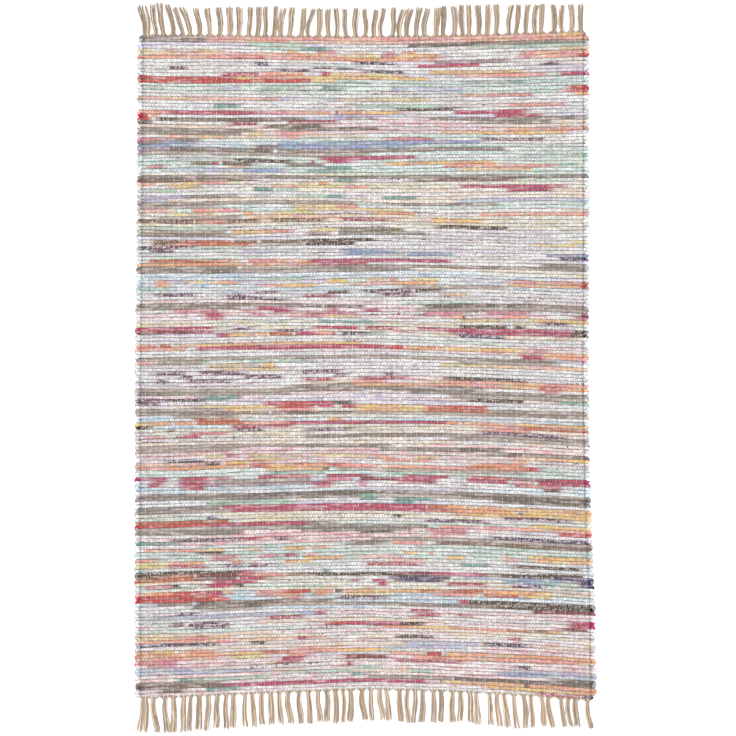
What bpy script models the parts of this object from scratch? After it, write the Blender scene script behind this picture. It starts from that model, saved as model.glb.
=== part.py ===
# Handwoven rag rug, about 1.4 m by 2.0 m, with a fringe of cotton warp ends at both short ends.
# Metres, +Z up. The rug lies flat on z = 0, its length along Y, the far end at +Y.
#
# rug_body     the woven cloth: every rag pick is a rib, turned in a loop at the selvedges
# fringe_far   the warp ends at the far end, gathered into locks
# fringe_near  the warp ends at the near end

import random

import bmesh
import bpy
import numpy as np
from mathutils import Vector

# Woven body
PICKS = 194  # rag wefts, each one a rib across the cloth
FAR_END = 1.017  # far edge of the cloth on its middle line
NEAR_END = -0.986  # near edge on the middle line
CROWN = 0.0070  # top of a full rib above the floor
THIN_RIB = 0.0008  # how much lower the thinnest rib is
VALLEY = 0.0044  # the cloth between two ribs
LOOP_REACH = 0.018  # how far a rag turns out beyond the last warp
LOOP_HEIGHT = 0.0046
NOTCH_HEIGHT = 0.0030  # between two loops

# The outermost warps, read along the length from the far end (0) to the near end (1)
SELVEDGES = (
    {"along": 0.00, "left": -0.680, "right": 0.675},
    {"along": 0.30, "left": -0.682, "right": 0.675},
    {"along": 0.52, "left": -0.688, "right": 0.673},
    {"along": 0.70, "left": -0.688, "right": 0.680},
    {"along": 0.86, "left": -0.688, "right": 0.694},
    {"along": 1.00, "left": -0.686, "right": 0.698},
)

# The ribs bow: how far their ends lie towards the near end, measured from their middle
BOW = (
    {"along": 0.0, "left": -0.010, "right": -0.020},
    {"along": 0.5, "left": 0.007, "right": 0.016},
    {"along": 1.0, "left": 0.029, "right": 0.037},
)
BOW_POWER = {"left": 1.3, "right": 2.4}  # the right side bends late, the left side nearly straight
COLUMNS = (-1.0, -0.6, -0.2, 0.2, 0.5, 0.72, 0.88, 1.0)  # places across, from the first warp to the last

# A loop joins two picks. These are its reach's shares on the lines of the body's grid:
# the notch before it, its first pick, the middle of the turn, its second pick
LOOP_SHARES = (0.25, 0.85, 1.0, 0.85)

# Fringe backing: the warps that run along the edge into the locks, arched between them
GAP = 0.0004  # between the cloth's edge and the backing
BACKING_HEIGHT = 0.0045
BACKING_AT_LOCK = 0.0080  # depth of the backing where a lock leaves it
BACKING_AT_ARCH = 0.0042  # depth halfway between two locks

# Fringe locks, their lengths measured from the cloth's edge
ROOT_WIDTH = (0.0090, 0.0120)  # narrowest and widest root
CORNER_WIDTH = 0.019  # the first lock on the left is a double one, at the very corner
SPACING_PLAY = 0.28  # how far a lock strays from its even place, in shares of the spacing
LEAN_PLAY = 0.003
LENGTH_PLAY = 0.003
LOCK_SECTIONS = (
    {"along": 0.10, "width": 0.95, "height": 0.0044},
    {"along": 0.40, "width": 1.25, "height": 0.0046},
    {"along": 0.80, "width": 1.35, "height": 0.0042},
    {"along": 1.00, "width": 1.20, "height": 0.0026},
)
TOP_SHARE = 0.60  # a lock's top is narrower than its underside
LEAN_POWER = 1.3  # a lock leaves the edge straight and leans more towards its tip

FAR_FRINGE = {"count": 49, "seed": 471, "along": 0.0, "outward": 1.0}
FAR_LOCKS = (
    {"across": -1.00, "lean": -0.006, "length": 0.092},
    {"across": -0.92, "lean": -0.014, "length": 0.101},
    {"across": -0.80, "lean": -0.028, "length": 0.088},
    {"across": -0.73, "lean": -0.004, "length": 0.090},
    {"across": -0.50, "lean": 0.004, "length": 0.095},
    {"across": -0.25, "lean": 0.014, "length": 0.089},
    {"across": -0.10, "lean": -0.006, "length": 0.088},
    {"across": 0.20, "lean": 0.014, "length": 0.090},
    {"across": 0.45, "lean": -0.006, "length": 0.096},
    {"across": 0.70, "lean": 0.010, "length": 0.095},
    {"across": 1.00, "lean": -0.004, "length": 0.086},
)

NEAR_FRINGE = {"count": 50, "seed": 570, "along": 1.0, "outward": -1.0}
NEAR_LOCKS = (
    {"across": -1.00, "lean": -0.005, "length": 0.101},
    {"across": -0.94, "lean": 0.014, "length": 0.111},
    {"across": -0.84, "lean": -0.004, "length": 0.116},
    {"across": -0.68, "lean": -0.006, "length": 0.108},
    {"across": -0.50, "lean": 0.006, "length": 0.104},
    {"across": -0.30, "lean": 0.006, "length": 0.100},
    {"across": -0.12, "lean": 0.001, "length": 0.104},
    {"across": 0.10, "lean": 0.008, "length": 0.097},
    {"across": 0.22, "lean": -0.003, "length": 0.104},
    {"across": 0.40, "lean": -0.002, "length": 0.095},
    {"across": 0.63, "lean": 0.015, "length": 0.109},
    {"across": 0.72, "lean": 0.006, "length": 0.102},
    {"across": 0.84, "lean": 0.014, "length": 0.094},
    {"across": 1.00, "lean": 0.006, "length": 0.090},
)

FINISHES = {
    "rag_weave": {"color": (0.71, 0.66, 0.63, 1.0), "roughness": 0.88},
    "cotton_warp": {"color": (0.50, 0.38, 0.26, 1.0), "roughness": 0.85},
}


def clear_scene():
    for item in list(bpy.data.objects):
        bpy.data.objects.remove(item, do_unlink=True)


def read(table, key, place, name):
    """The value in one column of a table, straight between its rows."""
    return float(np.interp(place, [row[key] for row in table], [row[name] for row in table]))


def bow_at(along, side):
    """The bow of one side, on a parabola through the table's three rows."""
    curve = np.polyfit([row["along"] for row in BOW], [row[side] for row in BOW], 2)
    return float(np.polyval(curve, along))


def cloth_point(along, across):
    """x and y of a place on the cloth: along from far to near, across from the first warp to the last."""
    left = read(SELVEDGES, "along", along, "left")
    right = read(SELVEDGES, "along", along, "right")
    side = "left" if across < 0 else "right"
    bow = bow_at(along, side) * abs(across) ** BOW_POWER[side]
    x = left + (right - left) * (across + 1) / 2
    y = FAR_END + (NEAR_END - FAR_END) * along - bow
    return x, y


def edge_point(along, across):
    """A place on the body's modelled end edge, which runs straight between its columns."""
    after = next(i for i, column in enumerate(COLUMNS[1:], 1) if across <= column)
    low, high = COLUMNS[after - 1], COLUMNS[after]
    share = (across - low) / (high - low)
    return Vector(cloth_point(along, low)).lerp(Vector(cloth_point(along, high)), share)


def finish(name):
    material = bpy.data.materials.new(name)
    material.use_nodes = True
    shader = material.node_tree.nodes["Principled BSDF"]
    shader.inputs["Base Color"].default_value = FINISHES[name]["color"]
    shader.inputs["Roughness"].default_value = FINISHES[name]["roughness"]
    shader.inputs["Metallic"].default_value = 0.0
    return material


def add_part(name, bm, material):
    """Turns a bmesh into a named part of the rug."""
    bmesh.ops.recalc_face_normals(bm, faces=bm.faces)
    mesh = bpy.data.meshes.new(name)
    bm.to_mesh(mesh)
    bm.free()
    mesh.materials.append(finish(material))
    part = bpy.data.objects.new(name, mesh)
    bpy.data.collections["rag_rug"].objects.link(part)
    return part


def loop_phase(line, side, last_line):
    """Where a line of the grid lies in a selvedge loop: 0 is a notch, 2 the middle of a turn.
    The loops of the two sides are offset by one pick, and both end lines are notches."""
    if line in (0, last_line):
        return 0
    return (line if side == "left" else line + 2) % len(LOOP_SHARES)


def make_body():
    """A grid with two lines for each pick, a valley and a crown, closed by a wall and a flat underside."""
    draw = random.Random(3)
    lines = 2 * PICKS
    sides = {0: "left", len(COLUMNS) + 1: "right"}  # the outermost points of each line are the loops
    crowns = [CROWN - THIN_RIB * draw.random() if line % 2 else VALLEY for line in range(lines + 1)]
    bm = bmesh.new()
    bmesh.ops.create_grid(bm, x_segments=len(COLUMNS) + 1, y_segments=lines, size=1.0)
    bm.verts.ensure_lookup_table()
    for point in bm.verts:
        line, column = divmod(point.index, len(COLUMNS) + 2)
        along = line / lines
        if column in sides:
            side = sides[column]
            outward = -1 if side == "left" else 1
            phase = loop_phase(line, side, lines)
            x, y = cloth_point(along, outward)
            x += outward * LOOP_REACH * LOOP_SHARES[phase]
            z = LOOP_HEIGHT if phase else NOTCH_HEIGHT
        else:
            x, y = cloth_point(along, COLUMNS[column - 1])
            z = crowns[line]
        point.co = (x, y, z)
    rim = [edge for edge in bm.edges if edge.is_boundary]
    wall = bmesh.ops.extrude_edge_only(bm, edges=rim)["geom"]
    for point in wall:
        if isinstance(point, bmesh.types.BMVert):
            point.co.z = 0.0
    foot = [item for item in wall if isinstance(item, bmesh.types.BMEdge) and item.is_boundary]
    bmesh.ops.triangle_fill(bm, edges=foot, use_beauty=True, normal=(0, 0, -1))
    return add_part("rug_body", bm, "rag_weave")


def plan_locks(fringe, table, half_width):
    """Every lock of one fringe: its place across, root width, lean and length."""
    draw = random.Random(fringe["seed"])
    spacing = 2.0 / fringe["count"]
    locks = []
    for number in range(fringe["count"]):
        across = -1 + spacing * (number + 0.5 + draw.uniform(-SPACING_PLAY, SPACING_PLAY))
        lock = {
            "across": across,
            "width": draw.uniform(*ROOT_WIDTH),
            "lean": read(table, "across", across, "lean") + draw.uniform(-LEAN_PLAY, LEAN_PLAY),
            "length": read(table, "across", across, "length") + draw.uniform(-LENGTH_PLAY, LENGTH_PLAY),
        }
        locks.append(lock)
    locks[0].update(across=CORNER_WIDTH / 2 / half_width - 1, width=CORNER_WIDTH)
    return locks


def backing_stations(locks, half_width):
    """Places along the edge with the backing's depth: both sides of every root and the arches between."""
    stations = []
    for lock, following in zip(locks, locks[1:] + [None]):
        half = lock["width"] / 2 / half_width
        stations.append((lock["across"] - half, BACKING_AT_LOCK))
        stations.append((lock["across"] + half, BACKING_AT_LOCK))
        if following:
            stations.append(((lock["across"] + following["across"]) / 2, BACKING_AT_ARCH))
    stations.append((1.0, BACKING_AT_ARCH))
    return stations


def draw_out(bm, root, lock, outward):
    """Pulls one wall of the backing out into a lock, section by section, flat on the floor."""
    start = root.calc_center_median()
    centre = start.x
    middle_height = start.z
    reach = lock["length"] - GAP - BACKING_AT_LOCK
    face = root
    for section in LOCK_SECTIONS:
        face = bmesh.ops.extrude_discrete_faces(bm, faces=[face])["faces"][0]
        across = start.x + lock["lean"] * section["along"] ** LEAN_POWER
        half = lock["width"] * section["width"] / 2
        for point in face.verts:
            side = 1 if point.co.x > centre else -1
            on_top = point.co.z > middle_height
            point.co.x = across + side * half * (TOP_SHARE if on_top else 1.0)
            point.co.y = start.y + outward * reach * section["along"]
            point.co.z = section["height"] if on_top else 0.0
        centre = across
        middle_height = section["height"] / 2


def make_fringe(name, fringe, table, material):
    """The backing is a strip along the cloth's edge. Its outer walls are drawn out into the locks."""
    outward = fringe["outward"]
    left, right = cloth_point(fringe["along"], -1)[0], cloth_point(fringe["along"], 1)[0]
    half_width = (right - left) / 2
    locks = plan_locks(fringe, table, half_width)
    stations = backing_stations(locks, half_width)
    bm = bmesh.new()
    bmesh.ops.create_grid(bm, x_segments=len(stations) - 1, y_segments=1, size=1.0)
    bm.verts.ensure_lookup_table()
    for point in bm.verts:
        row, column = divmod(point.index, len(stations))
        across, depth = stations[column]
        edge = edge_point(fringe["along"], across)
        point.co = (edge.x, edge.y + outward * (GAP + depth * row), BACKING_HEIGHT)
    top = list(bm.faces)
    base = bmesh.ops.extrude_face_region(bm, geom=top, use_keep_orig=True)["geom"]
    for point in base:
        if isinstance(point, bmesh.types.BMVert):
            point.co.z = 0.0
    bmesh.ops.recalc_face_normals(bm, faces=bm.faces)
    walls = [face for face in bm.faces if abs(face.normal.z) < 0.5 and face.normal.y * outward > 0.5]
    walls.sort(key=lambda face: face.calc_center_median().x)
    roots = walls[::3]  # after each root come the two slopes of an arch
    for root, lock in zip(roots, locks):
        draw_out(bm, root, lock, outward)
    return add_part(name, bm, material)


def centre_parts(parts):
    """Puts the middle of the whole rug's box at x = y = 0."""
    corners = [part.matrix_world @ Vector(corner) for part in parts for corner in part.bound_box]
    low = [min(corner[axis] for corner in corners) for axis in range(2)]
    high = [max(corner[axis] for corner in corners) for axis in range(2)]
    for part in parts:
        part.location = (-(low[0] + high[0]) / 2, -(low[1] + high[1]) / 2, 0.0)


def main():
    clear_scene()
    bpy.context.scene.collection.children.link(bpy.data.collections.new("rag_rug"))
    parts = [
        make_body(),
        make_fringe("fringe_far", FAR_FRINGE, FAR_LOCKS, "cotton_warp"),
        make_fringe("fringe_near", NEAR_FRINGE, NEAR_LOCKS, "cotton_warp"),
    ]
    bpy.context.view_layer.update()
    centre_parts(parts)


main()
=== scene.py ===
import math
import random

import bpy
import numpy as np
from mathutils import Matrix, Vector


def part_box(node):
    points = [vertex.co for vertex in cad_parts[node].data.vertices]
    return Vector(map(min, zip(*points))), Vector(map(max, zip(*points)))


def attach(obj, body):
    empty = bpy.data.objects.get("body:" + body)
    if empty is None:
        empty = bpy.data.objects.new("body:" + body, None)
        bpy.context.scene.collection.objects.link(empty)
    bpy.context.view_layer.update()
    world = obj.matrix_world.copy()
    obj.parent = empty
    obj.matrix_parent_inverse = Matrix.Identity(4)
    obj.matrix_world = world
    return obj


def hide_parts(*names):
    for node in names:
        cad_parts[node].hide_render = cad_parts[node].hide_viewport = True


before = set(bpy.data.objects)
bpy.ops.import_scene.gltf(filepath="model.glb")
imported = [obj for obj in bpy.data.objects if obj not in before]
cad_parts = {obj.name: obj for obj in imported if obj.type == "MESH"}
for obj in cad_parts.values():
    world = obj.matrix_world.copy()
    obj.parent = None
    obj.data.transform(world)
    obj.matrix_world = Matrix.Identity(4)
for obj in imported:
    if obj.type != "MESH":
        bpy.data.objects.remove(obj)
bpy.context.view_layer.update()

# A flat handwoven rag rug: fat rag wefts, thin cotton warps over and under them, warp ends left as fringe.
# Sizes are in metres. A pick is one throw of the weft across the rug, and picks count from the far end
rug = {
    "picks": 194,
    "warps": 586,
    "farEnd": 1.017,  # edges of the cloth on its middle line
    "nearEnd": -0.986,
    "loopReach": 0.018,
    "bands": (24, 24, 24, 24, 24, 24, 24, 26),  # picks woven into each piece
    "lowest": 0.0001,  # rags and fringe stay this far off the floor
}
# the outermost warps, read along the rug from the far end (0) to the near end (1)
selvedges = {
    "along": (0.00, 0.30, 0.52, 0.70, 0.86, 1.00),
    "left": (-0.680, -0.682, -0.688, -0.688, -0.688, -0.686),
    "right": (0.675, 0.675, 0.673, 0.680, 0.694, 0.698),
}
# how much nearer than its middle the two ends of a rib lie: read beside a ruler, guessed behind the inset
ribBow = {
    "along": (0.0, 0.06, 0.20, 0.43, 0.60, 0.75, 0.95, 1.0),
    "left": (-0.006, -0.007, 0.002, 0.005, 0.009, 0.014, 0.020, 0.028),
    "right": (-0.017, -0.009, -0.003, 0.014, 0.019, 0.022, 0.023, 0.034),
    "leftPower": 1.2,
    "rightPower": 1.8,
}
bodyLow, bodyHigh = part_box("rug_body")
farCorner, nearCorner = rug["farEnd"] - ribBow["right"][0], rug["nearEnd"] - ribBow["right"][-1]
shiftX = bodyLow.x - (min(selvedges["left"]) - rug["loopReach"])
shiftY = (bodyLow.y + bodyHigh.y - farCorner - nearCorner) / 2


def clothPlace(along, across):  # along 0 far to 1 near, across -1 left to 1 right
    left = np.interp(along, selvedges["along"], selvedges["left"])
    right = np.interp(along, selvedges["along"], selvedges["right"])
    sideways = np.abs(across)
    bow = np.where(
        np.asarray(across) < 0,
        np.interp(along, ribBow["along"], ribBow["left"]) * sideways ** ribBow["leftPower"],
        np.interp(along, ribBow["along"], ribBow["right"]) * sideways ** ribBow["rightPower"],
    )
    x = left + (right - left) * (across + 1) / 2 + shiftX
    y = rug["farEnd"] + (rug["nearEnd"] - rug["farEnd"]) * along - bow + shiftY
    return x, y


# The lines between two picks wander a little, as hand-beaten ribs do
ribWander = {
    "seed": 11,
    "slow": {"size": (0.0003, 0.0010), "waves": (0.8, 2.6)},
    "middle": {"size": (0.0002, 0.0007), "waves": (3.0, 6.0)},
    "quick": {"size": (0.0001, 0.0004), "waves": (8.0, 13.0)},
    "step": 0.0012,  # a thick or a thin pick moves its whole line
    "fatPicks": (0, 15, 22, 66, 88, 92, 114, 127, 191),
    "fat": 0.0007,  # and a fat rag pushes both its lines away
    "calm": 8,  # the higher, the closer to the selvedge the wandering reaches
}
# and the cloth is beaten closer here, looser there
ribDrift = {
    "waves": 9,
    "size": 0.0011,
    "picks": (12.0, 44.0),
    "across": (-0.9, 0.9),
    "calmPicks": 12,  # it grows over this many picks from either end
}
draw = np.random.default_rng(ribWander["seed"])
wanderKinds = [ribWander[name] for name in ("slow", "middle", "quick")]
wanderSize = np.array([draw.uniform(*kind["size"], rug["picks"] + 1) for kind in wanderKinds])
wanderStep = draw.uniform(-ribWander["step"], ribWander["step"], rug["picks"] + 1)
for pick in ribWander["fatPicks"]:
    wanderStep[pick] += ribWander["fat"]
    wanderStep[pick + 1] -= ribWander["fat"]
wanderSize[:, (0, -1)] = wanderStep[[0, -1]] = 0.0  # both ends of the cloth stay true
wanderWaves = np.array([draw.uniform(*kind["waves"], rug["picks"] + 1) for kind in wanderKinds])
wanderPhase = draw.uniform(0, 2 * math.pi, wanderSize.shape)
driftPicks = draw.uniform(*ribDrift["picks"], ribDrift["waves"])
driftAcross = draw.uniform(*ribDrift["across"], ribDrift["waves"])
driftPhase = draw.uniform(0, 2 * math.pi, ribDrift["waves"])


def clothDrift(line, across):
    line, across = np.broadcast_arrays(np.asarray(line, float), across)
    turns = line[..., None] / driftPicks + across[..., None] * driftAcross
    ends = np.clip(np.minimum(line, rug["picks"] - line) / ribDrift["calmPicks"], 0, 1)
    return ribDrift["size"] * np.sin(2 * math.pi * turns + driftPhase).sum(axis=-1) * ends


def ribLine(line, across):  # y of the line between two picks
    y = clothPlace(line / rug["picks"], across)[1]
    waves = wanderSize[:, line] * np.sin(math.pi * wanderWaves[:, line] * (across + 1) + wanderPhase[:, line])
    moved = waves.sum(axis=0) + wanderStep[line] + clothDrift(line, across)
    return y + moved * (1 - np.asarray(across) ** ribWander["calm"])


def pickPlace(pick, across):  # middle line of a pick and half its width
    x = clothPlace((pick + 0.5) / rug["picks"], across)[0]
    far, near = ribLine(pick, across), ribLine(pick + 1, across)
    return x, (far + near) / 2, (far - near) / 2


# The rags. Colours are 0 to 255, as a dyer's card would give them
plainCloths = {
    "taupe": (127, 121, 118),
    "fawn": (162, 152, 147),
    "umber": (88, 82, 80),
    "olive": (118, 108, 92),
    "bark": (112, 90, 84),
    "mauve": (150, 134, 146),
    "peach": (230, 188, 172),
    "coral": (226, 156, 144),
    "orange": (227, 158, 118),
    "amber": (227, 182, 124),
    "straw": (216, 196, 154),
    "rust": (184, 88, 58),
    "scarlet": (190, 36, 50),
    "crimson": (174, 32, 90),
    "wine": (110, 18, 48),
    "magenta": (166, 32, 98),
    "pink": (202, 130, 146),
    "lavender": (178, 187, 213),
    "blue": (128, 158, 194),
    "navy": (22, 22, 88),
    "teal": (96, 156, 150),
    "mint": (168, 202, 190),
}
fleck = {"share": 0.68, "paler": 0.62, "to": (238, 228, 226)}  # the white back of a coloured rag
printedCloths = {
    "white": {"ground": (234, 237, 240), "ink": (210, 209, 214), "share": 0.30},
    "blush": {"ground": (238, 231, 234), "ink": (220, 180, 190), "share": 0.33},
    "rosy": {"ground": (240, 227, 231), "ink": (224, 164, 176), "share": 0.34},
    "cream": {"ground": (237, 232, 227), "ink": (222, 202, 182), "share": 0.32},
    "butter": {"ground": (234, 234, 230), "ink": (218, 210, 180), "share": 0.32},
    "mintWhite": {"ground": (223, 237, 237), "ink": (178, 210, 204), "share": 0.34},
    "lilacWhite": {"ground": (235, 232, 240), "ink": (200, 194, 222), "share": 0.34},
    "skyWhite": {"ground": (224, 235, 243), "ink": (172, 202, 222), "share": 0.36},
    "navyPrint": {"ground": (212, 210, 224), "ink": (14, 14, 74), "share": 0.64, "fine": 1},
    "plumPrint": {"ground": (222, 208, 222), "ink": (70, 14, 74), "share": 0.57, "fine": 1},
    "blackPrint": {"ground": (210, 202, 202), "ink": (10, 6, 12), "share": 0.72, "fine": 1},
    "berryPrint": {"ground": (228, 190, 204), "ink": (156, 20, 68), "share": 0.58, "fine": 1},
    "brownPrint": {"ground": (202, 174, 156), "ink": (74, 40, 36), "share": 0.55, "fine": 1},
    "lilacSprig": {"ground": (229, 225, 236), "ink": (158, 158, 198), "share": 0.20, "fine": 1},
    "mintSprig": {"ground": (223, 231, 228), "ink": (104, 168, 150), "share": 0.22, "fine": 1},
    "roseSprig": {"ground": (234, 223, 228), "ink": (196, 104, 130), "share": 0.17, "fine": 1},
    "strawSprig": {"ground": (234, 226, 220), "ink": (216, 164, 106), "share": 0.20, "fine": 1},
    "greySprig": {"ground": (229, 226, 230), "ink": (84, 78, 88), "share": 0.16, "fine": 1},
}
# The ground of the rug: pale rags. The weaver took them from one pile after another, so a pile's cloths lie
# together. Shares are those at the far end and at the near end, which is the pinker one
palePiles = {
    "white": {"share": (32, 26), "sprigs": ("greySprig", "lilacSprig", "mintSprig")},
    "blush": {"share": (9, 25), "sprigs": ("roseSprig", "greySprig", "strawSprig")},
    "rosy": {"share": (3, 12), "sprigs": ("roseSprig", "greySprig", "lilacSprig")},
    "cream": {"share": (8, 10), "sprigs": ("strawSprig", "roseSprig", "greySprig")},
    "butter": {"share": (8, 7), "sprigs": ("strawSprig", "mintSprig", "greySprig")},
    "mintWhite": {"share": (27, 13), "sprigs": ("mintSprig", "greySprig", "mintSprig")},
    "lilacWhite": {"share": (4, 6), "sprigs": ("lilacSprig", "roseSprig", "lilacSprig")},
    "skyWhite": {"share": (11, 9), "sprigs": ("lilacSprig", "mintSprig", "greySprig")},
}
paleRags = {
    "seed": 24,
    "length": (0.06, 0.70),
    "pile": (2.0, 7.0),  # how long a pile lasts, in metres of weft
    "ownShare": 0.62,  # rags of the pile's own cloth
    "whiteShare": 0.14,
}

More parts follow.
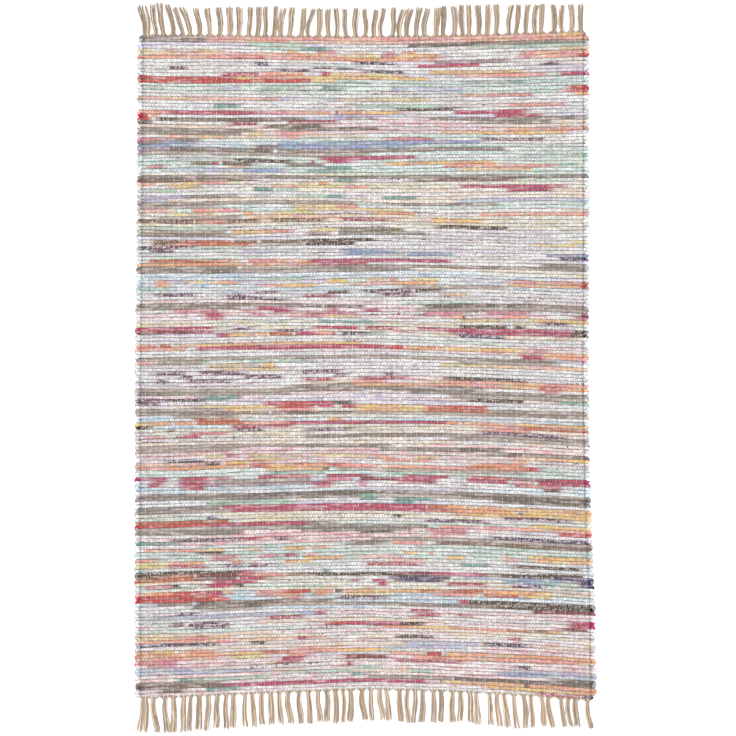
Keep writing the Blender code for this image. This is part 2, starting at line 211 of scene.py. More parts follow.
# The coloured rags, pick by pick from the far end, in cm from the left selvedge. 139 reaches the right one
stripeChart = (
    (0, "taupe 0-19, coral 19-128, amber 128-139"),
    (1, "taupe 0-19, coral 19-46, peach 46-100, orange 100-112, coral 112-137"),
    (2, "mint 32-50, umber 82-106, taupe 106-139"),
    (3, "mint 36-48, teal 48-58, mint 100-137"),
    (4, "straw 0-2, pink 7-11, straw 14-24, amber 44-48, pink 54-59, straw 64-70, pink 74-78,"
        " orange 80-84, straw 128-137"),
    (5, "straw 0-6, peach 6-27, coral 27-38, orange 38-56, peach 56-62, straw 62-73, pink 73-78,"
        " amber 78-92, coral 116-137"),
    (6, "orange 0-14, coral 14-27, scarlet 27-38, coral 38-56, orange 56-92, coral 116-134,"
        " scarlet 134-139"),
    (7, "navyPrint 65-77, mauve 90-112"),
    (8, "navyPrint 34-39, crimson 84-104, plumPrint 122-130"),
    (9, "plumPrint 8-14, plumPrint 53-58, navyPrint 60-66"),
    (10, "navyPrint 41-46, plumPrint 47-51, navyPrint 67-81, amber 88-118"),
    (11, "berryPrint 24-36, coral 36-50, crimson 55-57, straw 58-80, coral 96-124, crimson 128-139"),
    (12, "scarlet 0-28, amber 28-34, coral 34-44, amber 44-88"),
    (13, "scarlet 0-52, amber 52-60, teal 100-118"),
    (15, "lavender 20-30, mint 38-50, teal 55-61, lavender 76-100, scarlet 131-139"),
    (16, "scarlet 130-139"),
    (17, "coral 98-120, orange 133-139"),
    (18, "peach 0-42, lavender 42-48, straw 60-88"),
    (20, "teal 22-30, mint 66-92, coral 112-130"),
    (21, "blackPrint 78-96"),
    (22, "coral 0-8, crimson 8-36, pink 36-44, coral 44-51, straw 51-53, orange 53-58, wine 59-60,"
         " orange 61-68, amber 68-80, crimson 96-118"),
    (23, "scarlet 0-2, orange 2-5, lavender 58-84, crimson 108-124"),
    (24, "scarlet 0-2, blackPrint 4-10, taupe 10-22, umber 22-37, taupe 37-50, lavender 50-62,"
         " mauve 62-71, taupe 88-139"),
    (25, "blackPrint 0-3, berryPrint 26-36, berryPrint 44-60, taupe 100-126"),
    (26, "olive 38-46, umber 46-56"),
    (27, "taupe 0-34, umber 42-72, coral 112-139"),
    (28, "taupe 0-30, straw 32-38, coral 42-50, amber 92-130"),
    (29, "coral 8-14, amber 18-26, straw 32-35, coral 42-48"),
    (30, "pink 0-8, taupe 8-18, pink 74-90, plumPrint 104-124"),
    (31, "taupe 0-6, blue 6-17, skyWhite 17-41, blue 41-104"),
    (32, "blue 0-17, skyWhite 17-34, bark 34-41, blue 41-84"),
    (33, "mauve 0-8, umber 8-18, taupe 18-34, umber 34-41, taupe 41-112"),
    (34, "fawn 0-70"),
    (35, "crimson 55-84, mint 118-139"),
    (36, "crimson 25-26, blackPrint 28-46, crimson 52-53, crimson 56-66"),
    (37, "olive 15-21, crimson 21-23, bark 24-34, taupe 44-56, amber 74-108"),
    (38, "pink 1-7, straw 26-32, teal 54-64, coral 92-128"),
    (39, "skyWhite 7-14, lavender 14-30, blue 30-45, teal 50-58, mint 58-66, straw 98-120"),
    (41, "taupe 0-56, umber 56-72, taupe 72-139"),
    (42, "bark 0-35, teal 59-66, bark 84-116"),
    (43, "coral 0-4, straw 6-12, amber 12-18, coral 18-26, straw 48-54, orange 54-58"),
    (44, "amber 8-14, straw 14-18, cream 26-36, coral 40-48, amber 48-53, straw 53-62, coral 62-70,"
         " crimson 98-130"),
    (45, "mint 0-10, teal 34-41, mint 41-48, magenta 112-126"),
    (47, "lavender 0-13, taupe 14-28, mint 48-56, teal 56-62, teal 74-84"),
    (48, "lavender 0-8, lavender 96-139"),
    (49, "taupe 0-30, fawn 30-66, taupe 74-110"),
    (50, "fawn 0-24, straw 46-60, coral 60-66"),
    (51, "peach 0-10, coral 16-30, straw 46-80"),
    (52, "straw 8-22, orange 31-34, straw 40-52, orange 70-84, coral 104-139"),
    (53, "fawn 4-30, peach 34-60"),
    (54, "brownPrint 0-16, rust 16-26, brownPrint 26-36, peach 36-40, brownPrint 40-56,"
         " berryPrint 61-76, amber 88-104"),
    (56, "mint 0-26, blackPrint 90-112"),
    (57, "fawn 0-26, amber 27-38, coral 38-46, straw 52-60, olive 60-80"),
    (58, "taupe 0-28, olive 51-58, taupe 60-88"),
    (60, "brownPrint 2-14, rust 14-28, brownPrint 28-36, bark 36-50, blackPrint 50-72,"
         " straw 132-139"),
    (61, "brownPrint 3-10, rust 10-35, fawn 35-50, blackPrint 50-66, straw 121-134"),
    (62, "navyPrint 0-3, plumPrint 4-16"),
    (63, "plumPrint 3-10, lavender 31-50, blue 62-77"),
    (64, "blue 62-96, blue 124-139"),
    (65, "navyPrint 128-139"),
    (66, "rust 2-23, coral 23-30, coral 33-42, amber 42-51, crimson 51-96"),
    (67, "orange 0-27, coral 27-33, orange 34-43, coral 43-55, crimson 55-70, taupe 123-139"),
    (68, "taupe 0-30, fawn 30-60, taupe 60-139"),
    (69, "taupe 0-22, umber 22-28, fawn 28-60, taupe 60-84"),
    (71, "mint 36-52"),
    (72, "coral 4-9, straw 13-20, amber 21-23, coral 23-30, amber 57-63, straw 69-75, pink 76-79,"
         " straw 82-92, coral 113-130, rust 130-139"),
    (73, "orange 4-9, coral 36-43, amber 43-54, peach 64-78, orange 78-90, orange 112-135,"
         " scarlet 135-139"),
    (74, "mint 0-8, fawn 80-112"),
    (75, "plumPrint 34-42, blackPrint 57-64, blackPrint 68-73, plumPrint 73-84, blackPrint 84-93"),
    (76, "plumPrint 3-17, plumPrint 26-33, berryPrint 49-60, plumPrint 73-84, straw 93-100"),
    (77, "plumPrint 26-45"),
    (79, "taupe 0-56, umber 56-69, umber 86-118, taupe 118-139"),
    (80, "taupe 0-30, magenta 36-47, pink 57-60, umber 67-68, crimson 68-73, fawn 84-139"),
    (81, "pink 10-24, pink 30-35, magenta 40-46, pink 46-66, crimson 79-80, pink 87-99,"
         " pink 106-120, wine 135-139"),
    (82, "crimson 20-26, pink 33-37, pink 45-57, straw 57-67, coral 93-99, wine 99-100,"
         " coral 110-120, pink 132-138"),
    (83, "pink 20-26, straw 98-110, amber 120-137"),
    (84, "mint 36-44, teal 55-73, navyPrint 124-131"),
    (85, "blackPrint 98-113, blackPrint 115-118"),
    (86, "crimson 0-16, berryPrint 16-23, plumPrint 28-35, crimson 53-67, berryPrint 69-79,"
         " berryPrint 85-94, crimson 94-122, magenta 122-133, blackPrint 133-137,"
         " magenta 137-139"),
    (87, "wine 0-16, berryPrint 16-22, plumPrint 40-50, pink 79-84, crimson 94-120,"
         " magenta 120-133, blackPrint 133-137"),
    (88, "crimson 24-27, amber 27-39, rust 39-47, crimson 48-54, orange 54-58, crimson 58-60,"
         " navyPrint 61-70, mint 70-76, navyPrint 97-112, straw 126-134"),
    (91, "orange 0-5, rust 6-10, coral 10-14, amber 14-68"),
    (92, "coral 0-14, crimson 17-77, scarlet 77-81, orange 81-92, amber 92-118, pink 118-124"),
    (93, "pink 116-124, orange 125-139"),
    (94, "crimson 117-124, orange 124-139"),
    (95, "fawn 0-100, taupe 100-128, lavender 128-139"),
    (96, "peach 0-5, fawn 5-20, mint 34-52, fawn 98-128"),
    (97, "straw 22-32, amber 37-41, straw 92-100, amber 100-106, peach 106-138"),
    (98, "straw 24-44"),
    (99, "plumPrint 4-14, plumPrint 18-32, plumPrint 50-62"),
    (100, "plumPrint 12-16, plumPrint 32-44, plumPrint 60-64, plumPrint 75-79"),
    (101, "plumPrint 4-8, plumPrint 14-29, berryPrint 50-60, berryPrint 66-82, blackPrint 94-112,"
          " plumPrint 112-118"),
    (102, "coral 65-76, straw 88-94, coral 94-112, amber 112-122, coral 123-139"),
    (103, "taupe 46-66, amber 66-75, orange 75-92, coral 92-112, amber 112-123, scarlet 123-130,"
          " orange 130-139"),
    (104, "fawn 0-46, taupe 46-106, scarlet 124-128"),
    (105, "taupe 0-11, fawn 11-46, taupe 82-139"),
    (106, "teal 19-31, fawn 94-139"),
    (107, "plumPrint 0-10, blackPrint 10-20, teal 20-27, blackPrint 100-118, teal 128-138"),
    (108, "plumPrint 0-6, scarlet 38-54, crimson 54-60, blackPrint 60-66"),
    (109, "straw 12-26, amber 26-41, scarlet 41-54, crimson 54-60, crimson 62-66, amber 66-88,"
          " scarlet 88-107"),
    (110, "taupe 0-12, fawn 12-26, amber 26-36, coral 42-54, amber 66-88, rust 88-107, fawn 107-139"),
    (111, "taupe 0-40, umber 40-66, fawn 66-107, taupe 107-139"),
    (112, "fawn 10-30"),
    (113, "rust 17-30, orange 58-62"),
    (114, "amber 0-10, orange 10-17, rust 17-33, coral 33-46, crimson 46-94, orange 94-99,"
          " umber 99-100, orange 100-110, amber 110-139"),
    (115, "blackPrint 0-4, berryPrint 28-46, coral 104-115, rust 115-139"),
    (116, "blackPrint 8-10, plumPrint 28-38, plumPrint 50-66, coral 104-120"),
    (117, "pink 15-28, plumPrint 102-132"),
    (118, "pink 2-8, crimson 12-18, taupe 50-98, fawn 98-118, taupe 118-139"),
    (119, "fawn 94-139"),
    (121, "fawn 0-46, taupe 46-78"),
    (122, "fawn 0-30, taupe 74-98, umber 98-106, taupe 106-112"),
    (123, "peach 15-20, taupe 106-113, umber 113-118, taupe 118-139"),
    (124, "straw 21-25, pink 26-31, straw 33-50, straw 54-69, coral 71-76, straw 84-92,"
          " peach 114-125, amber 125-139"),
    (125, "navyPrint 7-19, straw 33-46, orange 75-78, coral 79-88, orange 114-120"),
    (126, "peach 0-20, blackPrint 20-24, amber 26-34, coral 34-40, orange 102-118"),
    (127, "coral 0-9, orange 9-33, scarlet 33-39, amber 39-44, orange 44-58, scarlet 58-62,"
          " coral 62-101, rust 101-109, orange 109-119, scarlet 119-123"),
    (128, "amber 39-56, umber 56-58, fawn 60-118"),
    (129, "teal 40-46, mint 46-56, mint 76-90"),
    (130, "crimson 0-8, crimson 12-22, pink 22-28, crimson 36-46, pink 46-53, crimson 57-70,"
          " crimson 82-95, scarlet 100-113, wine 113-128, crimson 128-139"),
    (131, "crimson 3-7, crimson 12-22, fawn 22-53, pink 57-66, wine 68-78, crimson 78-92,"
          " crimson 100-113, pink 114-122, crimson 122-131, magenta 131-139"),
    (132, "crimson 3-7, crimson 12-20, mauve 20-53, crimson 53-60, pink 67-70, pink 79-88,"
          " wine 88-91, crimson 115-117, pink 117-130"),
    (133, "crimson 13-20, pink 53-60, pink 67-70, wine 124-130"),
    (135, "taupe 0-30, umber 30-80, taupe 80-139"),
    (136, "taupe 0-68, teal 68-74, fawn 74-96, umber 96-139"),
    (137, "mint 20-46, teal 68-74, teal 78-90, umber 108-139"),
    (138, "teal 20-28, mint 28-48, teal 78-84"),
    (139, "taupe 0-24, crimson 25-88, rust 88-94, orange 94-112, amber 112-139"),
    (140, "taupe 0-14, fawn 14-28, crimson 28-88, rust 88-96, orange 96-116, umber 116-118,"
          " amber 118-139"),
    (141, "amber 96-139"),
    (142, "plumPrint 20-24, blackPrint 77-81, plumPrint 112-133"),
    (143, "rust 0-27, plumPrint 88-107"),
    (144, "scarlet 0-21, crimson 21-51, taupe 51-60, amber 120-139"),
    (145, "fawn 0-46, taupe 46-88, coral 92-104, coral 106-139"),
    (146, "taupe 0-31, taupe 50-84, pink 88-101, scarlet 128-139"),
    (147, "blackPrint 67-78, pink 89-101"),
    (148, "plumPrint 9-31, crimson 31-37, plumPrint 41-45, navyPrint 108-138"),
    (149, "teal 0-12, fawn 71-139"),
    (150, "taupe 63-76, coral 77-87, bark 91-139"),
    (151, "coral 1-17, amber 17-26, straw 33-37, amber 44-51, coral 53-58, mint 110-118"),
    (152, "blackPrint 17-25"),
    (153, "pink 22-31, pink 36-42, crimson 44-48, pink 50-54, amber 80-86, pink 89-91,"
          " coral 112-114, amber 119-139"),
    (154, "coral 0-5, pink 22-29, amber 50-62, peach 68-80, amber 94-100, coral 112-116,"
          " amber 121-139"),
    (155, "straw 0-9, coral 9-15, amber 15-19, orange 28-32, straw 33-37, orange 44-48, amber 49-52,"
          " coral 77-88"),
    (156, "straw 0-8, berryPrint 9-20, plumPrint 25-31, plumPrint 33-42, berryPrint 69-86,"
          " teal 98-108, blackPrint 114-136"),
    (158, "blackPrint 0-31, crimson 31-36, teal 56-58, blackPrint 122-136"),
    (159, "brownPrint 0-8, rust 8-17, wine 17-31, scarlet 31-36, coral 36-46, brownPrint 46-53,"
          " blackPrint 53-77, wine 77-90, crimson 90-105, bark 105-112, blackPrint 112-128,"
          " navy 128-139"),
    (160, "rust 0-16, bark 16-30, crimson 30-39, navy 77-95, lavender 100-116, blue 116-134,"
          " navy 134-139"),
    (161, "crimson 22-36, pink 64-67, crimson 72-76, navy 78-94, blue 112-128, navy 135-139"),
    (162, "pink 2-10, blackPrint 10-12, crimson 20-29, blackPrint 29-32, crimson 73-76,"
          " berryPrint 95-106, plumPrint 114-125"),
    (164, "orange 0-10, scarlet 10-20, crimson 20-26, amber 26-28, coral 36-44, scarlet 44-53,"
          " orange 53-59, umber 60-62, amber 62-86, rust 86-106, orange 106-116, amber 116-127"),
    (165, "scarlet 0-26, coral 36-50, orange 53-59, straw 62-78, coral 90-104, rust 106-116,"
          " amber 117-126"),
    (166, "scarlet 0-28, pink 44-50, plumPrint 60-75"),
    (167, "taupe 6-16, umber 17-42, taupe 42-60, crimson 98-101, blackPrint 101-139"),
    (168, "taupe 16-28, umber 28-40, fawn 40-70, olive 70-84, taupe 84-110, blackPrint 110-139"),
    (169, "fawn 20-36, wine 121-139"),
    (170, "plumPrint 10-18, berryPrint 83-90"),
    (171, "lavender 0-54, berryPrint 54-57, crimson 84-92, pink 97-103"),
    (172, "berryPrint 39-50, pink 82-87, crimson 132-139"),
    (173, "olive 9-13, plumPrint 15-28, crimson 131-139"),
    (174, "plumPrint 16-27, scarlet 57-64, crimson 64-80, blackPrint 80-88, wine 129-137"),
    (175, "mintWhite 0-50, orange 74-84, amber 84-97, coral 97-112, rust 112-121, umber 121-125,"
          " amber 125-129"),
    (177, "straw 0-10, coral 10-22, amber 22-28"),
    (178, "orange 0-10, coral 10-28, peach 28-45, straw 45-48, crimson 49-51, coral 51-57,"
          " blackPrint 78-90, berryPrint 112-117"),
    (179, "navyPrint 0-24, blackPrint 34-38"),
    (180, "lavender 81-104, navyPrint 105-120"),
    (181, "amber 0-11, coral 11-24, coral 48-62, lavender 74-100"),
    (182, "orange 0-25, amber 25-37, rust 37-46, coral 46-58, orange 58-64, amber 64-76"),
    (183, "coral 0-24, straw 28-40, coral 45-52, coral 77-88, scarlet 88-92, amber 94-98,"
          " orange 98-139"),
    (184, "pink 0-12, crimson 44-50, wine 62-76, coral 84-92, orange 92-100, coral 100-139"),
    (185, "pink 2-10, berryPrint 41-49, berryPrint 78-100"),
    (186, "lavender 0-16, berryPrint 63-66, plumPrint 115-120"),
    (187, "lavender 0-40, mint 66-74, lavender 112-139"),
    (188, "mint 44-66, mint 82-90, blue 110-126, lavender 126-139"),
    (189, "teal 10-20, mint 20-40, teal 64-69, umber 126-139"),
    (190, "taupe 0-26, fawn 70-96, umber 96-139"),
    (191, "bark 0-26, crimson 26-88, umber 92-93, amber 93-118, umber 118-120, orange 120-139"),
    (192, "umber 5-13, teal 20-31, amber 104-139"),
    (193, "berryPrint 122-135, plumPrint 136-139"),
)

# How a rag lies in the cloth
rags = {
    "seed": 37,
    "chartPlay": 0.006,  # a rag ends this far off its charted centimetre at most
    "shortest": 0.004,  # shorter scraps are left out
    "middleHeight": 0.00345,
    "halfHeight": 0.00245,
    "overlap": 0.00015,  # how far two picks press into each other
    "stations": 49,  # along a pick, evenly
    "changeGap": (0.004, 0.026),  # half the length over which one rag gives way to the next
    "changeShare": 0.36,  # but no more than this share of the shorter of the two
    "changeRoom": 0.002,  # an even station keeps this far away from a change
    "loopStraight": (0.0058, 0.0088),  # past the last warp, before the turn
    "firstStraight": 0.0025,  # the rag's first turn, by the far end, is drawn in
    "straightShares": (0.35, 1.0),  # where this straight has its stations
    "turnSteps": 6,  # parts of the half turn
    "loopMiddle": 0.0027,  # height of the rag's middle in the turn
    "loopWidth": 0.96,
    "square": 0.72,  # below 1 the turn is squarer than a half circle
    "tail": ((0.005, 0.8), (0.008, 0.25)),  # reach and size of the cut end at either end of the weft
    "tint": 0.07,  # how much two rags of one cloth differ
    "warmth": 0.4,  # and how much of that may lean to red or to blue
    "palest": 0.95,
    "bound": 0.004,  # the edge warps tie the rag in this far
    "plump": (0.92, 1.0),
    "section": ((1, 0), (0.7, 0.66), (0, 1), (-0.7, 0.66), (-1, 0), (-0.7, -0.66), (0, -1), (0.7, -0.66)),
    "topOfMap": 0.62,  # share of a map row that a rag's upper side takes
    "mapMargin": 1 / 1024,
    "mapSpare": 1.002,  # a map row is this much longer than the longest stretch in it
}
# how much the dye of a cloth drifts: pale stands for all printed cloths, and the plain ones not named have 1
unevenDye = {"pale": 0.15, "taupe": 0.35, "fawn": 0.35, "umber": 0.3, "mint": 0.4, "teal": 0.4}


def asLight(colour):  # 0 to 255 into the light a shader works with
    share = np.asarray(colour, float) / 255
    return np.where(share > 0.04045, ((share + 0.055) / 1.055) ** 2.4, share / 12.92)


def ragLook(name, chance):  # one rag's own colours, a little lighter or darker than its cloth
    tint = 1 + chance.uniform(-rags["tint"], rags["tint"])
    warmth = 1 + chance.uniform(-rags["tint"], rags["tint"]) * rags["warmth"]
    balance = np.array((warmth, 1.0, 1 / warmth)) * tint
    cloth = printedCloths.get(name)
    if not cloth:
        colour = plainCloths[name]
        back = [value + (white - value) * fleck["paler"] for value, white in zip(colour, fleck["to"])]
        cloth = {"ground": back, "ink": colour, "share": fleck["share"]}
    return {
        "name": name,
        "cloth": np.minimum(asLight(cloth["ground"]) * balance, rags["palest"]),
        "ink": np.minimum(asLight(cloth["ink"]) * balance, rags["palest"]),
        "share": cloth["share"],
        "fine": cloth.get("fine", 0),
        "uneven": unevenDye["pale"] if name in printedCloths else unevenDye.get(name, 1.0),
        "plump": chance.uniform(*rags["plump"]),
    }


def clothLength(pick):  # from the first warp to the last
    along = (pick + 0.5) / rug["picks"]
    return float(clothPlace(along, 1.0)[0] - clothPlace(along, -1.0)[0])


def runsBackwards(pick):  # even picks are thrown from the right to the left
    return pick % 2 == 0


def drawPile(pick, chance):  # the next pile of pale rags, and how long it lasts
    weights = [np.interp(pick, (0, rug["picks"]), kind["share"]) for kind in palePiles.values()]
    return chance.choices(list(palePiles), weights)[0], chance.uniform(*paleRags["pile"])


def drawPaleRag(pile, chance):  # the pile's own cloth, a white one or a sprig
    kind = chance.random()
    name = chance.choice(palePiles[pile]["sprigs"])
    if kind < paleRags["ownShare"]:
        name = pile
    elif kind < paleRags["ownShare"] + paleRags["whiteShare"]:
        name = "white"
    return ragLook(name, chance)


def layPaleRags():  # the ground: one rag after another down the whole weft
    chance = random.Random(paleRags["seed"])
    rows, left, look, pile, pileLeft = [], 0.0, None, None, 0.0
    for pick in range(rug["picks"]):
        length, place, row = clothLength(pick), 0.0, []
        while place < length:
            if left <= 0:
                left = chance.uniform(*paleRags["length"])
                if pileLeft <= 0:
                    pile, pileLeft = drawPile(pick, chance)
                pileLeft -= left
                look = drawPaleRag(pile, chance)
            step = min(left, length - place)
            row.append((place, place + step, look))
            place, left = place + step, left - step
        if runsBackwards(pick):
            row = [(length - end, length - start, look) for start, end, look in reversed(row)]
        rows.append(row)
    return rows


def layStripes(rows):  # the charted rags take the place of the pale ones
    chance = random.Random(rags["seed"])
    play = rags["chartPlay"]
    for pick, chart in stripeChart:
        length = clothLength(pick)
        for stripe in chart.split(","):
            name, span = stripe.split()
            start, end = (float(value) / 100 for value in span.split("-"))
            start = 0.0 if start == 0 else max(start + chance.uniform(-play, play), 0.0)
            end = min(end + chance.uniform(-play, play), length)
            look, kept = ragLook(name, chance), []
            for low, high, old in rows[pick]:
                if low < start:
                    kept.append((low, min(high, start), old))
                if high > end:
                    kept.append((max(low, end), high, old))
            rows[pick] = sorted(kept + [(start, end, look)], key=lambda piece: piece[0])
    return [[piece for piece in row if piece[1] - piece[0] > rags["shortest"]] for row in rows]


def pickStations(row, length):  # places across with the look there: even ones, and two at each change of rag
    chance = random.Random(round(length * 1e6) + len(row))
    changes = []
    for before, after in zip(row, row[1:]):
        shorter = min(before[1] - before[0], after[1] - after[0])
        gap = min(chance.uniform(*rags["changeGap"]), rags["changeShare"] * shorter)
        changes.append((min(max(after[0], 3 * gap), length - 3 * gap), gap, before[2], after[2]))
    places = [length * n / (rags["stations"] - 1) for n in range(rags["stations"])]
    places += [rags["bound"], length - rags["bound"]]
    found = []
    for place in places:
        clear = all(abs(place - change[0]) > change[1] + rags["changeRoom"] for change in changes)
        if clear or place in (0, length):
            begun = [piece for piece in row if piece[0] <= place + 1e-6] or row[:1]
            found.append((place, begun[-1][2]))
    for place, gap, before, after in changes:
        found += [(place - gap, before), (place + gap, after)]
    return sorted(found, key=lambda station: station[0])


weftRows = layStripes(layPaleRags())
print("rags laid:", sum(len(row) for row in weftRows))


def addMesh(name, points, quads, uv, colours, numbers, material):
    mesh = bpy.data.meshes.new(name)
    mesh.from_pydata(np.asarray(points).tolist(), [], np.asarray(quads).tolist())
    mesh.polygons.foreach_set("use_smooth", np.ones(len(mesh.polygons), bool))
    mesh.uv_layers.new(name="OFBake").data.foreach_set("uv", np.asarray(uv, np.float32).ravel())
    for key, values in colours.items():
        filled = np.ones((len(values), 4), np.float32)
        filled[:, :3] = values
        mesh.attributes.new(key, "FLOAT_COLOR", "POINT").data.foreach_set("color", filled.ravel())
    for key, values in numbers.items():
        mesh.attributes.new(key, "FLOAT", "POINT").data.foreach_set("value", np.asarray(values, np.float32))
    mesh.materials.append(material)
    piece = bpy.data.objects.new(name, mesh)
    bpy.context.scene.collection.objects.link(piece)
    return piece


class Shade:  # a socket that can be reckoned with
    def __init__(self, tree, socket=None):
        self.tree, self.socket = tree, socket

    def node(self, kind, settings=None, sockets=None, output=0):
        made = self.tree.nodes.new(kind)
        for name, value in (settings or {}).items():
            setattr(made, name, value)
        for name, value in (sockets or {}).items():
            if isinstance(value, Shade):
                self.tree.links.new(value.socket, made.inputs[name])
            else:
                made.inputs[name].default_value = value
        return Shade(self.tree, made.outputs[output])

    def math(self, operation, first, second=0.0):
        return self.node("ShaderNodeMath", {"operation": operation}, {0: first, 1: second})

    def __add__(self, other):
        return self.math("ADD", self, other)

    def __sub__(self, other):
        return self.math("SUBTRACT", self, other)

    def __mul__(self, other):
        return self.math("MULTIPLY", self, other)

    def __pow__(self, other):
        return self.math("POWER", self, other)

    def __radd__(self, other):
        return self.math("ADD", other, self)

    def __rsub__(self, other):
        return self.math("SUBTRACT", other, self)

    def __rmul__(self, other):
        return self.math("MULTIPLY", other, self)

    def __abs__(self):
        return self.math("ABSOLUTE", self)

    def between(self, low, high):  # 0 up to low, 1 from high on, smooth between
        sockets = {"Value": self, "From Min": low, "From Max": high}
        return self.node("ShaderNodeMapRange", {"interpolation_type": "SMOOTHSTEP"}, sockets)

    def spread(self, low, high):  # 0 to 1 becomes low to high
        return low + self * (high - low)

    def mixed(self, colour, other):  # this value leads from one colour to the other
        return self.node("ShaderNodeMix", {"data_type": "RGBA"}, {0: self, 6: colour, 7: other}, output=2)

    def lit(self, amount):  # a colour made lighter or darker
        return self.node("ShaderNodeVectorMath", {"operation": "SCALE"}, {0: self, 3: amount})

    def noise(self, place, stretch, detail=2.0):  # stretch is in features to the metre
        stretched = self.node("ShaderNodeVectorMath", {"operation": "MULTIPLY"}, {0: place, 1: stretch})
        return self.node("ShaderNodeTexNoise", sockets={"Vector": stretched, "Scale": 1.0, "Detail": detail})

    def attribute(self, name, output="Fac"):
        return self.node("ShaderNodeAttribute", {"attribute_name": name}, output=output)


def weighed(values, weights):  # the sum of a few shades, each with its weight
    total = values[0] * weights[0]
    for value, weight in zip(values[1:], weights[1:]):
        total = total + value * weight
    return total


def newMaterial(name, constants):
    material = bpy.data.materials.new(name)
    material.use_nodes = True
    tree = material.node_tree
    surface = tree.nodes["Principled BSDF"]
    for key, value in constants.items():
        surface.inputs[key].default_value = value
    return material, Shade(tree), surface


def dress(surface, colour, roughness, height, finish):
    tree = colour.tree
    tree.links.new(colour.socket, surface.inputs["Base Color"])
    tree.links.new(roughness.socket, surface.inputs["Roughness"])
    bump = tree.nodes.new("ShaderNodeBump")
    bump.inputs["Strength"].default_value = finish["bumpStrength"]
    bump.inputs["Distance"].default_value = finish["bumpDepth"]
    tree.links.new(height.socket, bump.inputs["Height"])
    tree.links.new(bump.outputs["Normal"], surface.inputs["Normal"])


# Patterns are in features to the metre along the rag, across it and through it. An edge is where a pattern
# turns from nothing to full, a shade is the light that is left, and 1 takes none away
ragFinish = {
    "constants": {"Sheen Weight": 0.10, "Sheen Roughness": 0.5, "Specular IOR Level": 0.25},
    "creases": (15.0, 170.0, 170.0),
    "folds": (70.0, 150.0, 150.0),
    "specks": (130.0, 200.0, 200.0),
    "patches": (21.0, 80.0, 80.0),
    "drift": (16.0, 60.0, 60.0),  # where a rag's dye leans to yellow or to pink
    "grooves": (7.0, 97.0, 97.0),  # how deep the painted shade line between two ribs is
    "stitches": (120.0, 120.0, 120.0),  # the same painted shade line broken up by the warps
    "rolled": (9.0, 7.3, 1.0),  # how a rag rolls over along its rib, and from rib to rib
    "rolledSize": 0.8,
    "broadPrint": (0.50, 0.38, 0.12),  # patches, creases and folds in the pattern of most rags
    "finePrint": (0.12, 0.38, 0.50),  # patches, folds and specks in a fine print
    "inkReach": 0.22,  # how far a cloth's share of ink lifts its pattern
    "turnedInk": 0.22,  # that share is so much smaller in a turn
    "printEdge": (0.575, 0.645),
    "driftEdge": (0.38, 0.62),
    "yellowed": (1.03, 1.13, 0.97, 1.0),
    "pinked": (0.98, 0.86, 1.02, 1.0),
    "crumple": (0.55, 0.45),  # creases and folds
    "crumpleEdge": (0.40, 0.57),
    # painted shade in a rag's creases and painted light on its folds
    "creaseShade": (0.66, 1.08),
    "speckEdge": (0.36, 0.60),
    # painted shade and light on a rag's small lumps
    "speckShade": (0.77, 1.09),
    "pillowEdge": (0.10, 0.75),
    "warpShadow": 0.74,  # painted shadow right beside a warp
    "valleyEdge": (0.45, 1.0),
    "valley": (1.0, 0.20),  # painted shade between two ribs, where they part least and most
    "valleyMakeup": (0.4, 0.6),  # grooves and stitches
    "grooveEdge": (0.47, 0.62),
    "joinedValley": 0.35,  # how much of the painted valley shade is left between two picks of one cloth
    "turnValley": 0.45,  # and in a turn
    "turnEdge": (0.35, 0.60),
    "turnDark": 0.15,  # painted shade: how much darker the creases are in a turn
    "boundDark": 0.45,  # and painted shade on the rag under the outermost warp
    "roughness": (0.84, 0.94),
    "bumps": (0.45, 0.45, 0.45),  # pillows between warps, creases and folds
    "pillowPower": 0.6,
    "bumpDepth": 0.0011,
    "bumpStrength": 0.75,
}


